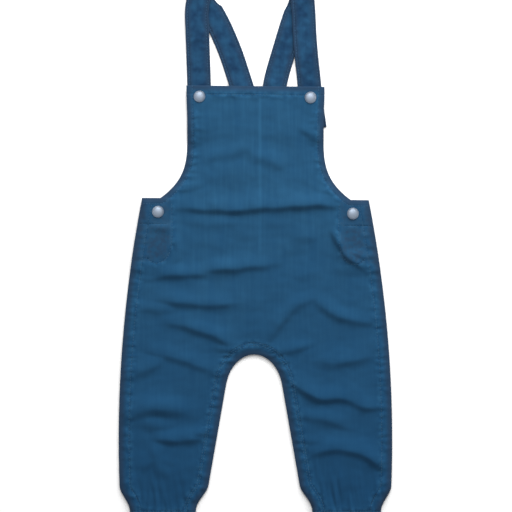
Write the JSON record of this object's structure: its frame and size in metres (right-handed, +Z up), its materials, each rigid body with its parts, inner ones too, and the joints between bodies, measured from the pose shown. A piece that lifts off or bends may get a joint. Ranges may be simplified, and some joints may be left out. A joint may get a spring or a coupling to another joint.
{
  "type": "kids dungarees",
  "caption": "Child's bib dungarees in mid-blue denim, laid flat, with press-stud shoulder straps, side openings and gathered ankles",
  "frame": {"origin": "middle of the footprint of the laid garment, on the surface it lies on", "axes": "+X to the right seen from above, +Y from the ankles to the shoulders, +Z up from the surface, out of the front"},
  "size_m": [0.3006, 0.5948, 0.009],
  "materials": {
    "denim": "matte mid-blue denim weave",
    "strap_denim": "matte mid-blue denim weave",
    "press_stud": "polished nickel plate"
  },
  "bodies": {
    "root": {"front_panel": "denim", "back_panel": "denim", "underlap_left": "denim", "underlap_right": "denim", "strap_left": "strap_denim", "strap_right": "strap_denim", "bib_left_cap": "press_stud", "bib_left_stud": "press_stud", "bib_right_cap": "press_stud", "bib_right_stud": "press_stud", "side_left_cap": "press_stud", "side_left_stud": "press_stud", "side_right_cap": "press_stud", "side_right_stud": "press_stud"}
  },
  "joints": []
}
